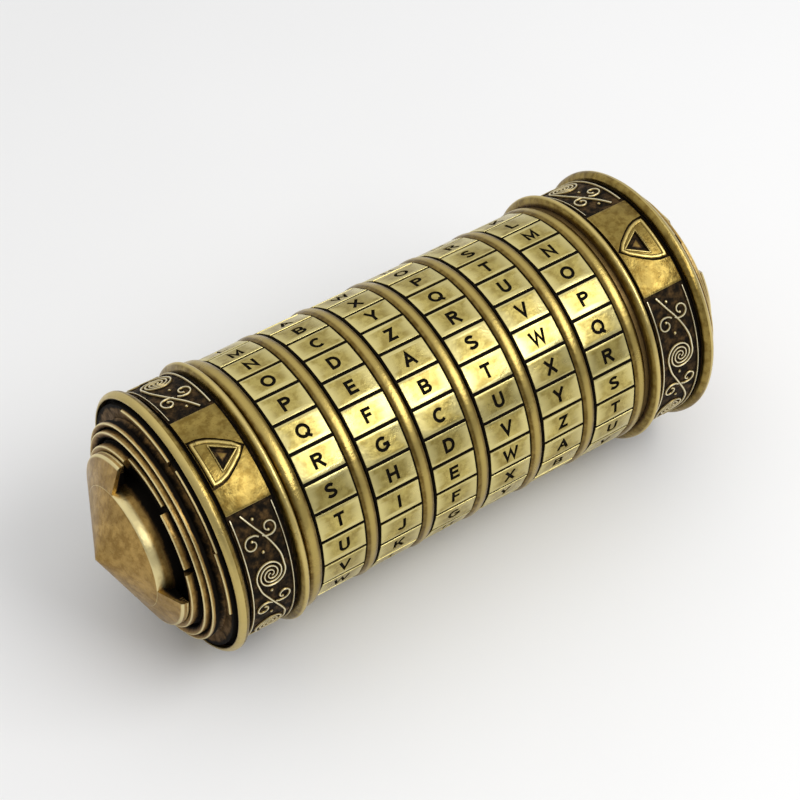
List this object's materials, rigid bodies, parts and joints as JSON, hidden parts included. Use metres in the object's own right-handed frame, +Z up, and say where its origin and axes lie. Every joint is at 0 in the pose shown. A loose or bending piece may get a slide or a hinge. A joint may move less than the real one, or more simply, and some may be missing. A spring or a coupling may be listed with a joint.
{
  "type": "cryptex puzzle cylinder",
  "caption": "Brass puzzle cylinder with alphabet rings on a slotted tube, decorated end caps with pointers, and an inner vault that slides out of one end.",
  "frame": {"origin": "on the long axis, half way between the tips of the two bosses", "axes": "+X along the axis towards the fixed cap (the vault leaves towards -X), +Z up, object lying on its side"},
  "size_m": [0.14, 0.0534, 0.0534],
  "materials": {
    "letter_brass": "brushed, lightly aged",
    "antique_brass": "cast, antiqued with dark recesses",
    "inner_brass": "turned, satin",
    "screw_steel": "blackened satin"
  },
  "bodies": {
    "barrel": {"outer_tube": "inner_brass", "retaining_collar": "antique_brass", "collar_lock_screws": "screw_steel", "thrust_washer": "inner_brass", "right_cap_band": "antique_brass", "right_end_disc": "antique_brass", "right_boss": "antique_brass", "right_boss_screw": "screw_steel", "right_cap_screws": "screw_steel"},
    "vault": {"vault_tube": "inner_brass", "lug_rail": "inner_brass", "lug_rivets": "screw_steel", "left_cap_band": "antique_brass", "left_end_disc": "antique_brass", "left_boss": "antique_brass", "left_boss_screw": "screw_steel", "left_cap_screws": "screw_steel"},
    "ring_1": {"letter_ring_1": "letter_brass", "code_ring_1": "inner_brass"},
    "ring_2": {"letter_ring_2": "letter_brass", "code_ring_2": "inner_brass"},
    "ring_3": {"letter_ring_3": "letter_brass", "code_ring_3": "inner_brass"},
    "ring_4": {"letter_ring_4": "letter_brass", "code_ring_4": "inner_brass"},
    "ring_5": {"letter_ring_5": "letter_brass", "code_ring_5": "inner_brass"},
    "ring_6": {"letter_ring_6": "letter_brass", "code_ring_6": "inner_brass"}
  },
  "joints": [
    {"name": "ring_1_turn", "type": "hinge", "parent": "barrel", "child": "ring_1", "pos_m": [-0.0303, 0, 0], "axis": [1, 0, 0], "continuous": true},
    {"name": "ring_2_turn", "type": "hinge", "parent": "barrel", "child": "ring_2", "pos_m": [-0.0177, 0, 0], "axis": [1, 0, 0], "continuous": true},
    {"name": "ring_3_turn", "type": "hinge", "parent": "barrel", "child": "ring_3", "pos_m": [-0.0051, 0, 0], "axis": [1, 0, 0], "continuous": true},
    {"name": "ring_4_turn", "type": "hinge", "parent": "barrel", "child": "ring_4", "pos_m": [0.0075, 0, 0], "axis": [1, 0, 0], "continuous": true},
    {"name": "ring_5_turn", "type": "hinge", "parent": "barrel", "child": "ring_5", "pos_m": [0.0201, 0, 0], "axis": [1, 0, 0], "continuous": true},
    {"name": "ring_6_turn", "type": "hinge", "parent": "barrel", "child": "ring_6", "pos_m": [0.0327, 0, 0], "axis": [1, 0, 0], "continuous": true},
    {"name": "vault_slide", "type": "slide", "parent": "barrel", "child": "vault", "axis": [-1, 0, 0], "range_m": [0, 0.085]}
  ]
}
